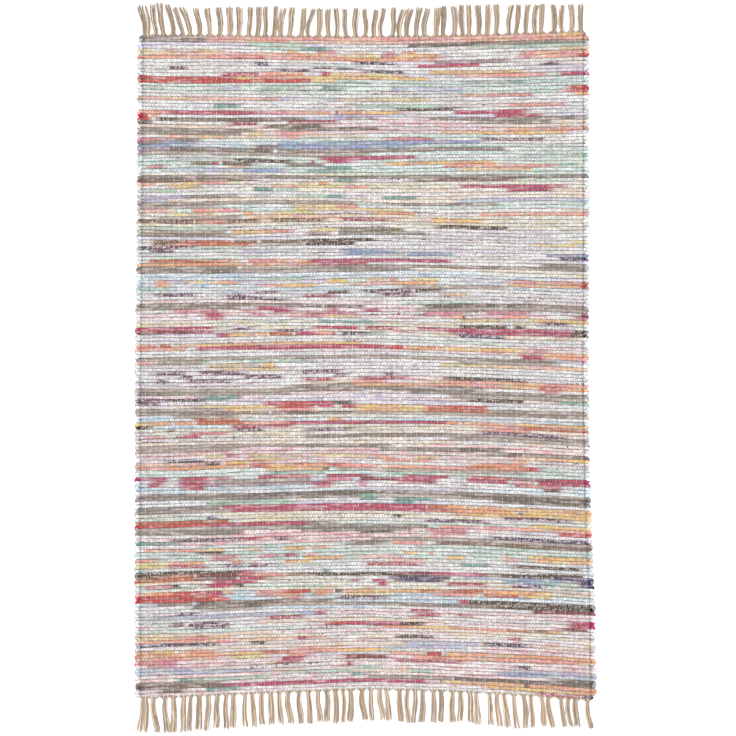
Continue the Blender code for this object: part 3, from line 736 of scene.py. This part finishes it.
def ragMaterial():
    material, shade, surface = newMaterial("crumpled_cotton_rag", ragFinish["constants"])
    place = shade.node("ShaderNodeTexCoord", output="Object")
    creases, folds, patches = (shade.noise(place, ragFinish[key]) for key in ("creases", "folds", "patches"))
    specks, drift, grooves, stitches = (
        shade.noise(place, ragFinish[key], 1.0) for key in ("specks", "drift", "grooves", "stitches")
    )
    turned, ribSide = shade.attribute("turned"), shade.attribute("ribSide")

    broad = weighed((patches, creases, folds), ragFinish["broadPrint"])
    small = weighed((patches, folds, specks), ragFinish["finePrint"])
    pattern = broad + shade.attribute("finePrint") * (small - broad)
    alongRib = shade.node("ShaderNodeSeparateXYZ", sockets={0: place})
    roll = shade.node("ShaderNodeCombineXYZ", sockets={0: alongRib, 1: shade.attribute("row")})
    roll = (shade.noise(roll, ragFinish["rolled"], 1.0) - 0.5) * ribSide
    share = shade.attribute("inkShare") - turned * ragFinish["turnedInk"]
    pattern = pattern + roll * ragFinish["rolledSize"] * (1 - turned) + share * ragFinish["inkReach"]
    printed = pattern.between(*ragFinish["printEdge"])
    colour = printed.mixed(shade.attribute("clothColor", "Color"), shade.attribute("inkColor", "Color"))
    leaning = (drift.between(*ragFinish["driftEdge"]) - 0.5) * shade.attribute("unevenDye") + 0.5
    leaning = leaning.mixed(ragFinish["yellowed"], ragFinish["pinked"])
    colour = shade.node("ShaderNodeVectorMath", {"operation": "MULTIPLY"}, {0: colour, 1: leaning})

    # painted shade and light of a crumpled rag: darker in its creases, lighter on its folds and lumps
    crumple = weighed((creases, folds), ragFinish["crumple"]).between(*ragFinish["crumpleEdge"])
    crumpleShading = crumple.spread(*ragFinish["creaseShade"])
    crumpleShading = crumpleShading * specks.between(*ragFinish["speckEdge"]).spread(*ragFinish["speckShade"])
    pillow = abs(shade.math("SINE", shade.attribute("overWarp") * math.pi))
    # painted shadow of the warps on the rag beside them
    warpShadow = pillow.between(*ragFinish["pillowEdge"]).spread(ragFinish["warpShadow"], 1)
    # painted shade in the valley between two ribs, weaker between two picks of one cloth and in a turn
    parting = weighed((grooves, stitches), ragFinish["valleyMakeup"]).between(*ragFinish["grooveEdge"])
    least, most = ragFinish["valley"]
    valley = abs(ribSide).between(*ragFinish["valleyEdge"]) * parting.spread(1 - least, 1 - most)
    valley = valley * (1 - shade.attribute("joined") * (1 - ragFinish["joinedValley"]))
    valley = 1 - valley * (1 - turned * (1 - ragFinish["turnValley"]))
    # painted shade in the creases of a turn
    turn = 1 - turned * (1 - folds.between(*ragFinish["turnEdge"])) * ragFinish["turnDark"]
    # painted shade on the rag under the outermost warp
    bound = 1 - shade.attribute("bound") * ragFinish["boundDark"]
    colour = colour.lit(crumpleShading * warpShadow * valley * turn * bound)

    height = weighed((pillow ** ragFinish["pillowPower"], creases, folds), ragFinish["bumps"])
    dress(surface, colour, folds.spread(*ragFinish["roughness"]), height, ragFinish)
    return material


yarnFinish = {
    "constants": {"Sheen Weight": 0.15, "Sheen Roughness": 0.5, "Specular IOR Level": 0.25},
    "fuzz": (900.0, 900.0, 900.0),
    "fuzzShade": (0.86, 1.14),
    "fuzzBump": 0.5,
    "plyEdge": (0.0, 0.6),
    "plyShade": 0.66,  # painted shade in the groove between two plies
    "diveEdge": (0.35, 1.0),
    "diveShade": 0.62,  # painted shade where a yarn goes down between two ribs
    "roughness": (0.82, 0.92),
    "bumpDepth": 0.0004,
    "bumpStrength": 0.7,
}


def yarnMaterial():
    material, shade, surface = newMaterial("twisted_cotton_yarn", yarnFinish["constants"])
    place = shade.node("ShaderNodeTexCoord", output="Object")
    fuzz = shade.noise(place, yarnFinish["fuzz"])
    ply = abs(shade.math("SINE", shade.attribute("twist") * math.pi))
    # painted shade in the grooves between the plies
    groove = ply.between(*yarnFinish["plyEdge"]).spread(yarnFinish["plyShade"], 1)
    # painted shade where a yarn dives between two ribs
    dive = 1 - shade.attribute("dive").between(*yarnFinish["diveEdge"]) * (1 - yarnFinish["diveShade"])
    yarnColor = shade.attribute("yarnColor", "Color")
    colour = yarnColor.lit(groove * fuzz.spread(*yarnFinish["fuzzShade"]) * dive)
    rough = fuzz.spread(*yarnFinish["roughness"])
    dress(surface, colour, rough, ply + fuzz * yarnFinish["fuzzBump"], yarnFinish)
    return material


rag, yarn = ragMaterial(), yarnMaterial()
print("materials mixed")


def joinsAt(pick, share, name):  # 1 where the pick on its far or its near side has the same coloured cloth
    joins = []
    for beside in (pick - 1, pick + 1):
        found = name  # nothing parts from the cloth's two ends
        if 0 <= beside < rug["picks"]:
            place = share * clothLength(beside)
            names = (look["name"] for start, end, look in weftRows[beside] if start <= place <= end)
            found = next(names, None)
        joins.append(float(found == name and name in plainCloths))
    return joins


def ribStation(pick, place, look):  # the rag at one place of a pick, measured from the left selvedge
    length = clothLength(pick)
    across = 2 * place / length - 1
    x, y, half = (float(value) for value in pickPlace(pick, across))
    joins = joinsAt(pick, place / length, look["name"])
    return {
        "row": pick,
        "across": across,
        "x": x,
        "y": y,
        "z": rags["middleHeight"],
        "wide": half + rags["overlap"],
        "high": rags["halfHeight"] * look["plump"],
        "look": look,
        "warp": ((across + 1) / 2 * (rug["warps"] - 1) + pick) / 2,
        "turned": 0.0,
        # 1 under an outermost warp, where the rag gets painted shade
        "bound": float(place in (0, length)),
        "joins": joins[::-1] if runsBackwards(pick) else joins,  # the rag's own left side first
    }


def selvedgeTurn(pick, looks, straight, warp):  # round the edge warp into the next pick
    side = -1 if runsBackwards(pick) else 1
    x, y, half = (float(value) for value in pickPlace(pick, float(side)))
    nextX, nextY = (float(value) for value in pickPlace(pick + 1, float(side))[:2])
    places = [(x + side * straight * share, y) for share in rags["straightShares"]]
    centreX, centreY, radius = (x + nextX) / 2 + side * straight, (y + nextY) / 2, (y - nextY) / 2
    for step in range(1, rags["turnSteps"]):
        angle = math.pi / 2 - step * math.pi / rags["turnSteps"]
        out, up = abs(math.cos(angle)) ** rags["square"], abs(math.sin(angle)) ** rags["square"]
        places.append((centreX + side * radius * out, centreY + math.copysign(radius * up, angle)))
    places += [(nextX + side * straight * share, nextY) for share in reversed(rags["straightShares"])]
    turn = []
    for number, (x, y) in enumerate(places):
        depth = min(number, len(places) - 1 - number, 2) / 2
        look = looks[number > len(places) // 2]
        turn.append({
            "row": pick,
            "x": x,
            "y": y,
            "z": rags["middleHeight"] + (rags["loopMiddle"] - rags["middleHeight"]) * depth,
            "wide": half * (1 - (1 - rags["loopWidth"]) * depth),
            "high": rags["halfHeight"] * look["plump"],
            "look": look,
            "warp": warp if number == 0 else 0.5,
            "turned": min(depth * 2, 1.0),
            "bound": 0.0,
            "joins": (0.0, 0.0),
        })
    return turn


def weftPath(first, last):  # one rag after another through all picks of a band, with the turns between them
    chance = random.Random(rags["seed"] + first)
    path, cuts = [], []  # cuts are where the map starts a new row
    for pick in range(first, last):
        row = pickStations(weftRows[pick], clothLength(pick))
        if runsBackwards(pick):
            row.reverse()
        stations = [ribStation(pick, place, look) for place, look in row]
        pastMiddle = [(station["across"] > 0) != runsBackwards(pick) for station in stations]
        cuts.append(len(path) + pastMiddle.index(True))
        path += stations
        if pick + 1 == rug["picks"]:
            continue
        straight = chance.uniform(*rags["loopStraight"])
        if pick == 0:
            straight = rags["firstStraight"]
        looks = row[-1][1], weftRows[pick + 1][0 if runsBackwards(pick) else -1][2]
        turn = selvedgeTurn(pick, looks, straight, path[-1]["warp"])
        cuts.append(len(path) + len(turn) // 2)
        path += turn
    return path, cuts


def cutEnd(end):  # the weft begins and ends on the right, in a tapered tail
    return [
        dict(end, x=end["x"] + reach, z=rags["loopMiddle"], wide=end["wide"] * size, high=end["high"] * size)
        for reach, size in rags["tail"]
    ]


def nextRing(first):  # where the following band starts, so that two bands meet without a seam
    place, look = pickStations(weftRows[first], clothLength(first))[-1 if runsBackwards(first) else 0]
    return dict(ribStation(first, place, look), bound=1.0, joins=(0.0, 0.0))


def walkedAlong(line):  # length of the way to every point of a line
    return np.concatenate(((0.0,), np.cumsum(np.linalg.norm(np.diff(line, axis=0), axis=1))))


def weftMap(line, cuts, station, turn):  # each half of a pick and its turn is a row, the upper side first
    walked, starts = walkedAlong(line), np.array([0] + cuts)
    rowOf = np.searchsorted(starts, station, side="right") - 1
    rowLength = max(np.diff(np.append(walked[starts], walked[-1]))) * rags["mapSpare"]
    left, right = ((walked[place] - walked[starts[rowOf]]) / rowLength for place in (station, station + 1))
    half = len(rags["section"]) // 2
    onTop = turn < half
    low = (rowOf + np.where(onTop, 0, rags["topOfMap"])) / len(starts) + rags["mapMargin"]
    tall = np.where(onTop, rags["topOfMap"], 1 - rags["topOfMap"]) / len(starts) - 2 * rags["mapMargin"]
    bottom, top = (low + tall * (turn % half + step) / half for step in (0, 1))
    corners = ((left, bottom), (right, bottom), (right, top), (left, top))
    return np.stack([np.stack(corner, axis=1) for corner in corners], axis=1)[:, ::-1]


def weaveWeft(number, first, last):
    path, cuts = weftPath(first, last)
    if first == 0:
        tail = cutEnd(path[0])
        path = tail[::-1] + path
        cuts = [cut + len(tail) for cut in cuts]
    path += cutEnd(path[-1]) if last == rug["picks"] else [nextRing(last)]
    line = np.array([(station["x"], station["y"]) for station in path])
    ahead = np.gradient(line, axis=0)
    if first > 0:  # two bands meet on the right, where the rag runs straight to the left
        ahead[0] = (-1, 0)
    if last < rug["picks"]:
        ahead[-1] = (-1, 0)
    ahead /= np.linalg.norm(ahead, axis=1)[:, None]
    aside = np.stack((-ahead[:, 1], ahead[:, 0]), axis=1)

    keys = ("row", "z", "wide", "high", "warp", "turned", "bound", "joins")
    along = {key: np.array([station[key] for station in path]) for key in keys}
    for key in ("cloth", "ink", "share", "fine", "uneven"):
        along[key] = np.array([station["look"][key] for station in path])
    section = np.array(rags["section"], float)
    sides = len(section)
    points = np.empty((len(path), sides, 3))
    points[:, :, :2] = line[:, None] + aside[:, None] * (along["wide"][:, None] * section[:, 0])[:, :, None]
    height = along["z"][:, None] + along["high"][:, None] * section[:, 1]
    points[:, :, 2] = np.maximum(height, rug["lowest"])

    station, turn = np.meshgrid(np.arange(len(path) - 1), np.arange(sides), indexing="ij")
    station, turn = station.ravel(), turn.ravel()
    following = (turn + 1) % sides
    corners = ((0, turn), (1, turn), (1, following), (0, following))
    quads = np.stack([(station + step) * sides + side for step, side in corners], axis=1)[:, ::-1]

    spread = {key: np.repeat(values, sides, axis=0) for key, values in along.items()}
    onLeft = section[:, 0] > 0
    numbers = {
        "inkShare": spread["share"],
        "finePrint": spread["fine"],
        "overWarp": spread["warp"],
        "turned": spread["turned"],
        "bound": spread["bound"],
        "unevenDye": spread["uneven"],
        "row": spread["row"],
        "joined": np.where(onLeft, along["joins"][:, :1], along["joins"][:, 1:]).ravel(),
        "ribSide": np.tile(section[:, 0], len(path)),
    }
    colours = {"clothColor": spread["cloth"], "inkColor": spread["ink"]}
    uv = weftMap(line, cuts, station, turn)
    return addMesh(f"weft_band_{number}", points.reshape(-1, 3), quads, uv, colours, numbers, rag)


# The warps: seven yarns repeat across the rug
warps = {
    "seed": 5,
    "repeat": ("cream", "tan", "mustard", "tan", "mustard", "tan", "tan"),
    "yarns": {"cream": (208, 200, 193), "tan": (170, 155, 145), "mustard": (163, 137, 110)},
    "tint": 0.09,
    "edgeWarps": 2,  # at either selvedge, where they lie deep in the rag's turn
    # painted shade on those warps
    "edgeShade": 0.55,
    "width": 0.00160,
    "endWidth": 0.00132,
    "jitter": 0.00034,
    "crown": 0.0069,  # a float's ridge over a rag
    "crownSide": 0.0059,
    "dive": 0.00455,  # the ridge where it goes down between two rags
    "diveSide": 0.0042,
    "underCrown": 0.00008,
    "underDive": 0.0024,
    "reach": 1.18,  # how far a float runs past its own rag, in shares of the rag's half width
    "plyPitch": 0.0034,
    "sideTwist": 0.45,  # the plies at a float's side are this much further round
    "cellsInRow": 98,  # floats side by side on the map
    "cellFilled": (0.82, 0.74),  # shares of a float's cell on the map that it takes up
}
# floats over the rags and, flatter, under them: heights of three stations, in the middle and at the sides
floats = {
    "over": {
        "sides": (-1, 0, 1),
        "ridge": (warps["dive"], warps["crown"], warps["dive"]),
        "flank": (warps["diveSide"], warps["crownSide"], warps["diveSide"]),
    },
    "under": {
        "sides": (-1, 1),
        "ridge": (0, 0, 0),
        "flank": (warps["underDive"], warps["underCrown"], warps["underDive"]),
    },
}
draw = np.random.default_rng(warps["seed"])
warpNumbers = np.arange(rug["warps"])
warpAcross = np.linspace(-1, 1, rug["warps"])
warpJitter = draw.uniform(-warps["jitter"], warps["jitter"], (rug["picks"] + 1, rug["warps"]))
warpTurn = draw.uniform(0, 1, rug["warps"])
warpNames = [warps["repeat"][warp % len(warps["repeat"])] for warp in warpNumbers]
warpShades = np.array([asLight(warps["yarns"][name]) for name in warpNames])
warpShades *= draw.uniform(1 - warps["tint"], 1 + warps["tint"], (rug["warps"], 1))
# the outermost warps get painted shade
atEdge = np.minimum(warpNumbers, warpNumbers[::-1]) < warps["edgeWarps"]
edgeShade = np.where(atEdge, warps["edgeShade"], 1.0)


def floatPoints(pick, warp, kind):  # three stations down the cloth, each with its points from left to right
    across = warpAcross[warp]
    far, near = ribLine(pick, across), ribLine(pick + 1, across)
    half = (far - near) / 2 * warps["reach"]
    middle = (far + near) / 2
    points = np.empty((len(pick), 3, len(kind["sides"]), 3))
    for station, (y, line) in enumerate(((middle + half, pick), (middle, None), (middle - half, pick + 1))):
        if line is None:
            x = clothPlace((pick + 0.5) / rug["picks"], across)[0]
            x = x + (warpJitter[pick, warp] + warpJitter[pick + 1, warp]) / 2
            wide = warps["width"]
        else:
            x = clothPlace(line / rug["picks"], across)[0] + warpJitter[line, warp]
            wide = warps["endWidth"]
        for column, side in enumerate(kind["sides"]):
            points[:, station, column, 0] = x + side * wide / 2
            points[:, station, column, 1] = y
            points[:, station, column, 2] = kind["flank" if side else "ridge"][station]
    return points


def weaveWarps(number, first, last):
    pick, warp = (grid.ravel() for grid in np.meshgrid(np.arange(first, last), warpNumbers, indexing="ij"))
    over = (pick + warp) % 2 == 0
    points, quads, uv, colours, twist, dive, count = [], [], [], [], [], [], 0
    cellRows = math.ceil(rug["warps"] / warps["cellsInRow"])  # for one pick
    rows = (last - first) * cellRows
    wide, tall = warps["cellFilled"][0] / warps["cellsInRow"], warps["cellFilled"][1] / rows
    for kind, chosen in ((floats["over"], over), (floats["under"], ~over)):
        p, k, columns = pick[chosen], warp[chosen], len(kind["sides"])
        found = floatPoints(p, k, kind)
        base = count + np.arange(len(p)) * 3 * columns
        left = (k % warps["cellsInRow"]) / warps["cellsInRow"]
        low = ((p - first) * cellRows + k // warps["cellsInRow"]) / rows
        for station in range(2):
            for column in range(columns - 1):
                corners = [(0, 0), (1, 0), (1, 1), (0, 1)]
                if kind is floats["under"]:
                    corners.reverse()  # the underside faces down
                corners = [(station + ahead, column + aside) for ahead, aside in corners]
                quads.append(np.stack([base + s * columns + c for s, c in corners], axis=1))
                onMap = [(left + wide * s / 2, low + tall * c / (columns - 1)) for s, c in corners]
                uv.append(np.stack([np.stack(corner, axis=1) for corner in onMap], axis=1))
        points.append(found.reshape(-1, 3))
        colours.append(np.repeat(warpShades[k] * edgeShade[k, None], 3 * columns, axis=0))
        turns = found[..., 1] / warps["plyPitch"] + warpTurn[k][:, None, None]
        twist.append((turns + np.array(kind["sides"]) * warps["sideTwist"]).ravel())
        # 1 at a float's ends, where it goes down between two ribs and gets painted shade
        dive.append(np.tile(np.repeat((1.0, 0.0, 1.0), columns), len(p)))
        count += len(points[-1])
    points, quads, uv, colours, twist, dive = map(np.concatenate, (points, quads, uv, colours, twist, dive))
    numbers = {"twist": twist, "dive": dive}
    return addMesh(f"warp_band_{number}", points, quads, uv, {"yarnColor": colours}, numbers, yarn)


bands, start = [], 0
for number, count in enumerate(rug["bands"], 1):
    bands.append((weaveWeft(number, start, start + count), weaveWarps(number, start, start + count), count))
    start += count
print("bands woven:", len(bands))

# The fringe: the warp ends, gathered into locks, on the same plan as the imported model's. Lengths are from the
# cloth's edge
fringes = {
    "rootWidth": (0.0090, 0.0120),
    "cornerWidth": 0.019,  # the first lock on the left is a double one
    "spacingPlay": 0.28,
    "leanPlay": 0.003,
    "lengthPlay": 0.003,
    "leanPower": 1.3,
    "rootDepth": 0.0080,  # where the warps of a lock have come together
    "rootSpread": 0.45,  # and how wide they lie there, in shares of the lock's width
    "archShares": (0.0, 0.33, 0.67),  # stations on the arch from the cloth into the lock
    "archPull": 0.12,  # how early on it a warp turns towards its lock
    "insideCloth": 0.0030,  # it starts this far in
    "startHeights": (0.0056, 0.0016),  # a warp comes from over or from under the last rag
    "widening": {"along": (0.0, 0.10, 0.40, 0.80, 1.00), "width": (1.10, 1.28, 1.52, 1.62, 1.56)},
    "yarnRadius": 0.00134,
    "cornerYarn": 1.35,  # the corner lock is wide for its number of yarns
    "frayed": (1.05, 0.62),  # the cut end frays and thins
    "middleHeight": 0.0010,  # of the lowest yarns of a lock
    "layer": 0.00130,  # from one layer of yarns up to the next
    "sag": 0.45,  # the upper ones come down by this share of it towards the tip
    "stations": 12,
    "drift": 0.15,  # how far a yarn leaves its slot, in shares of half the lock
    "wave": {"size": (0.0003, 0.0009), "count": (0.7, 1.6)},
    "crimp": {"size": (0.00015, 0.00035), "step": 2.6},
    "fullTurn": 6.28,
    "shorter": (-0.055, 0.02),  # or longer than its lock, in shares of the length
    "stray": {"share": 0.035, "reach": (0.003, 0.007), "power": 1.6},  # a few yarns leave their lock
    "fork": {"sizes": (0, 0, 0, 0.002, 0.005), "from": 0.55, "power": 1.4},  # and some locks part at the tip
    "bend": {"size": (0.0010, 0.0034), "waves": (0.9, 1.8)},  # whole locks curve a little to one side
    "tint": (0.82, 1.46),
    "warmth": (1.0, 0.99, 0.90),  # loose ends look warmer than the same yarn between pale rags
    "sideAngles": (90, 210, 330),
    "sideTwist": (0.50, 1.16, 1.84),
    "yarnsInRow": 4,  # side by side on the map
    "mapMargins": (0.002, 0.10),  # beside a yarn, and below it in shares of its row
    "mapSides": ((0.0, 0.40), (0.40, 0.55), (0.55, 0.80)),  # the narrow one is the underside
}
# A fringe's light lifts its yarns above the warps' colour in the cloth: partly their own colour, and partly
# painted light, the near fringe's more, as the lamps leave it darker
farFringe = {
    "name": "fringe_far", "count": 49, "seed": 471, "along": 0.0, "outward": 1.0, "light": 1.18,
    "across": (-1.00, -0.92, -0.80, -0.73, -0.50, -0.25, -0.10, 0.20, 0.45, 0.70, 1.00),
    "lean": (-0.006, -0.014, -0.028, -0.004, 0.004, 0.014, -0.006, 0.014, -0.006, 0.010, -0.004),
    "length": (0.092, 0.101, 0.088, 0.090, 0.095, 0.089, 0.088, 0.090, 0.096, 0.095, 0.086),
}
nearFringe = {
    "name": "fringe_near", "count": 50, "seed": 570, "along": 1.0, "outward": -1.0, "light": 1.34,
    "across": (-1.00, -0.94, -0.84, -0.68, -0.50, -0.30, -0.12, 0.10, 0.22, 0.40, 0.63, 0.72, 0.84, 1.00),
    "lean": (
        -0.005, 0.014, -0.004, -0.006, 0.006, 0.006, 0.001, 0.008, -0.003, -0.002, 0.015, 0.006, 0.014, 0.006,
    ),
    "length": (
        0.101, 0.111, 0.116, 0.108, 0.104, 0.100, 0.104, 0.097, 0.104, 0.095, 0.109, 0.102, 0.094, 0.090,
    ),
}


def planLocks(fringe):
    chance = random.Random(fringe["seed"])
    halfWidth = float(clothPlace(fringe["along"], 1.0)[0] - clothPlace(fringe["along"], -1.0)[0]) / 2
    spacing, play = 2.0 / fringe["count"], fringes["spacingPlay"]
    locks = []
    for number in range(fringe["count"]):
        lock = {"across": -1 + spacing * (number + 0.5 + chance.uniform(-play, play))}
        lock["width"] = chance.uniform(*fringes["rootWidth"])
        for key in ("lean", "length"):
            middling = np.interp(lock["across"], fringe["across"], fringe[key])
            lock[key] = float(middling + chance.uniform(-1, 1) * fringes[key + "Play"])
        locks.append(lock)
    locks[0].update(across=fringes["cornerWidth"] / 2 / halfWidth - 1, width=fringes["cornerWidth"])
    return locks


def lockYarns(locks):  # every warp end goes to the nearest lock
    middles = [(a["across"] + b["across"]) / 2 for a, b in zip(locks, locks[1:])]
    groups = [[] for _ in locks]
    for warp, across in enumerate(warpAcross):
        groups[int(np.searchsorted(middles, across))].append(warp)
    return groups


def yarnPath(fringe, lock, warp, rank, count, chance):
    outward, depth, bend = fringe["outward"], fringes["rootDepth"], lock["bend"]
    edgeX, edgeY = (float(value) for value in clothPlace(fringe["along"], warpAcross[warp]))
    rootX, rootY = (float(value) for value in clothPlace(fringe["along"], lock["across"]))
    slot = (2 * rank + 1) / count - 1
    layer = (0, 1, 0, 2 if abs(slot) < 0.5 else 1)[rank % 4]  # yarns lie three deep in a lock's middle
    lying = fringes["middleHeight"] + layer * fringes["layer"]
    drift = chance.uniform(-fringes["drift"], fringes["drift"])
    wave = {key: chance.uniform(*fringes["wave"][key]) for key in ("size", "count")}
    wave["phase"] = chance.uniform(0, fringes["fullTurn"])
    crimp = {"size": chance.uniform(*fringes["crimp"]["size"])}
    crimp["phase"] = chance.uniform(0, fringes["fullTurn"])
    length = lock["length"] * (1 + chance.uniform(*fringes["shorter"]))
    stray = 0.0
    if chance.random() < fringes["stray"]["share"]:
        stray = chance.choice((-1, 1)) * chance.uniform(*fringes["stray"]["reach"])
    startHeight = fringes["startHeights"][0 if chance.random() < 0.5 else 1]
    path = []
    for share in fringes["archShares"]:
        sideways = rootX + slot * lock["width"] * fringes["rootSpread"] - edgeX
        arch = 2 * share * (1 - share)
        x = edgeX + sideways * (fringes["archPull"] * arch + share ** 2)
        out = depth * share ** 2 + fringes["insideCloth"] * (arch - (1 - share) ** 2)
        y = edgeY + (rootY - edgeY) * share ** 2 + outward * out
        path.append((x, y, startHeight + (lying - startHeight) * share))
    steps = fringes["stations"] - len(path)
    for step in range(steps):
        share = step / (steps - 1)
        wider = np.interp(share, fringes["widening"]["along"], fringes["widening"]["width"])
        offset = (slot + drift * share) * (lock["width"] / 2 * wider)
        turns = fringes["fullTurn"] * wave["count"] * share
        offset += math.sin(wave["phase"] + turns) * wave["size"] * min(1, 3 * share)
        opened = max(share - fringes["fork"]["from"], 0) ** fringes["fork"]["power"]
        offset += lock["fork"] * math.copysign(opened, slot) + stray * share ** fringes["stray"]["power"]
        offset += math.sin(crimp["phase"] + fringes["crimp"]["step"] * step) * crimp["size"]
        offset += bend["size"] * math.sin(math.pi * bend["waves"] * share)
        x = rootX + lock["lean"] * share ** fringes["leanPower"] + offset
        y = rootY + outward * (depth + (length - depth) * share)
        z = fringes["middleHeight"] + layer * fringes["layer"] * (1 - fringes["sag"] * share ** 2)
        path.append((x, y, z))
    return np.array(path)


def yarnRings(path, radius):  # three points round every station
    ahead = np.gradient(path, axis=0)
    ahead /= np.linalg.norm(ahead, axis=1)[:, None]
    aside = np.stack((-ahead[:, 1], ahead[:, 0], np.zeros(len(path))), axis=1)
    aside /= np.linalg.norm(aside, axis=1)[:, None]
    radii = np.full(len(path), radius)
    radii[-2:] *= fringes["frayed"]
    rings = np.empty((len(path), 3, 3))
    for side, angle in enumerate(math.radians(value) for value in fringes["sideAngles"]):
        rings[:, side] = path + aside * (radii * math.cos(angle))[:, None]
        rings[:, side, 2] += radii * math.sin(angle)
    rings[:, :, 2] = np.maximum(rings[:, :, 2], rug["lowest"])
    return rings.reshape(-1, 3)


def yarnFaces(serial, walked):  # the faces of one yarn and where they are on the map
    marginX, marginY = fringes["mapMargins"]
    wide, tall = 1 / fringes["yarnsInRow"], 1 / math.ceil(rug["warps"] / fringes["yarnsInRow"])
    left = serial % fringes["yarnsInRow"] * wide + marginX
    low = serial // fringes["yarnsInRow"] * tall + tall * marginY
    reach = left + walked / walked[-1] * (wide - 2 * marginX)
    quads, uv = [], []
    for station in range(len(walked) - 1):
        for side in range(3):
            following = (side + 1) % 3
            corners = ((station, side), (station + 1, side), (station + 1, following), (station, following))
            quads.append([(serial * len(walked) + s) * 3 + c for s, c in corners])
            bottom, top = (low + tall * value for value in fringes["mapSides"][side])
            here, there = reach[station], reach[station + 1]
            uv.append([(here, bottom), (there, bottom), (there, top), (here, top)])
    return quads, uv


def layFringe(fringe):
    chance = random.Random(fringe["seed"] + 100)
    locks = planLocks(fringe)
    points, quads, uv, colours, twist = [], [], [], [], []
    for lock, group in zip(locks, lockYarns(locks)):
        lock["fork"] = chance.choice(fringes["fork"]["sizes"])
        side = chance.choice((-1, 1))
        size, waves = (chance.uniform(*fringes["bend"][key]) for key in ("size", "waves"))
        lock["bend"] = {"size": side * size, "waves": waves}
        radius = fringes["yarnRadius"] * (fringes["cornerYarn"] if lock is locks[0] else 1.0)
        for rank, warp in enumerate(group):
            path = yarnPath(fringe, lock, warp, rank, len(group), chance)
            walked = walkedAlong(path)
            found, places = yarnFaces(len(points), walked)
            quads += found
            uv += places
            points.append(yarnRings(path, radius))
            turns = walked[:, None] / warps["plyPitch"] + warpTurn[warp] + np.array(fringes["sideTwist"])
            twist.append(turns.ravel())
            # the fringe's light is partly painted light
            shade = warpShades[warp] * chance.uniform(*fringes["tint"]) * fringe["light"] * fringes["warmth"]
            colours.append(np.repeat([shade], len(points[-1]), axis=0))
    points, colours, twist = map(np.concatenate, (points, colours, twist))
    name = fringe["name"] + "_yarns"
    piece = addMesh(name, points, quads, uv, {"yarnColor": colours}, {"twist": twist}, yarn)
    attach(piece, "root")
    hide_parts(fringe["name"])
    return piece


farYarns, nearYarns = layFringe(farFringe), layFringe(nearFringe)
print("fringe laid")

for number, (weft, warpYarns, count) in enumerate(bands, 1):
    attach(weft, "root")
    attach(warpYarns, "root")
    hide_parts("rug_body")
    going = [warpYarns] + [farYarns] * (number == 1) + [nearYarns] * (number == len(bands))
print("pieces on their body")

# The room: a pale floor, soft light from above and a camera straight over the rug
studio = {
    "floor": (0.93, 0.93, 0.94),
    "floorReach": 14.0,
    "floorRoughness": 0.9,
    "clouds": (0.8, 0.8, 0.8),  # of a slightly darker tone, in features to the metre
    "cloudShade": 0.985,
    "lights": (
        {"name": "far_window", "place": (-0.8, 2.8, 3.4), "size": 3.0, "power": 103},
        {"name": "near_fill", "place": (1.2, -2.6, 3.6), "size": 3.4, "power": 103},
    ),
    "sky": 0.75,
    "lens": 70.0,
    "sensor": 36.0,
    "widthSeen": 2.265,
    "lookAt": (0.0123, 0.0),  # before the shift of the whole rug
}


def makeStudio():
    mesh = bpy.data.meshes.new("floor")
    reach = studio["floorReach"]
    corners = [(-reach, -reach, 0), (reach, -reach, 0), (reach, reach, 0), (-reach, reach, 0)]
    mesh.from_pydata(corners, [], [(0, 1, 2, 3)])
    floor = bpy.data.objects.new("floor", mesh)
    bpy.context.scene.collection.objects.link(floor)
    material, shade, surface = newMaterial("pale_floor", {"Specular IOR Level": 0.1})
    clouds = shade.noise(shade.node("ShaderNodeTexCoord", output="Object"), studio["clouds"])
    base = (*studio["floor"], 1.0)
    darker = (*(value * studio["cloudShade"] for value in studio["floor"]), 1.0)
    shade.tree.links.new(clouds.mixed(base, darker).socket, surface.inputs["Base Color"])
    surface.inputs["Roughness"].default_value = studio["floorRoughness"]
    mesh.materials.append(material)
    for light in studio["lights"]:
        lamp = bpy.data.lights.new(light["name"], "AREA")
        lamp.shape, lamp.size, lamp.energy = "SQUARE", light["size"], light["power"]
        holder = bpy.data.objects.new(light["name"], lamp)
        holder.location = light["place"]
        away = -holder.location.normalized()
        holder.rotation_euler = away.to_track_quat("-Z", "Y").to_euler()
        bpy.context.scene.collection.objects.link(holder)
    world = bpy.data.worlds.new("soft_room")
    bpy.context.scene.world = world
    world.use_nodes = True
    background = world.node_tree.nodes["Background"]
    background.inputs["Color"].default_value = (1.0, 1.0, 1.0, 1.0)
    background.inputs["Strength"].default_value = studio["sky"]
    bpy.context.scene.view_settings.view_transform = "Standard"


def makeCamera():
    data = bpy.data.cameras.new("camera")
    data.lens, data.sensor_width = studio["lens"], studio["sensor"]
    camera = bpy.data.objects.new("camera", data)
    distance = studio["widthSeen"] / 2 * studio["lens"] / (studio["sensor"] / 2)
    camera.location = (studio["lookAt"][0] + shiftX, studio["lookAt"][1] + shiftY, distance)
    bpy.context.scene.collection.objects.link(camera)
    bpy.context.scene.camera = camera


makeStudio()
makeCamera()
print("studio ready")
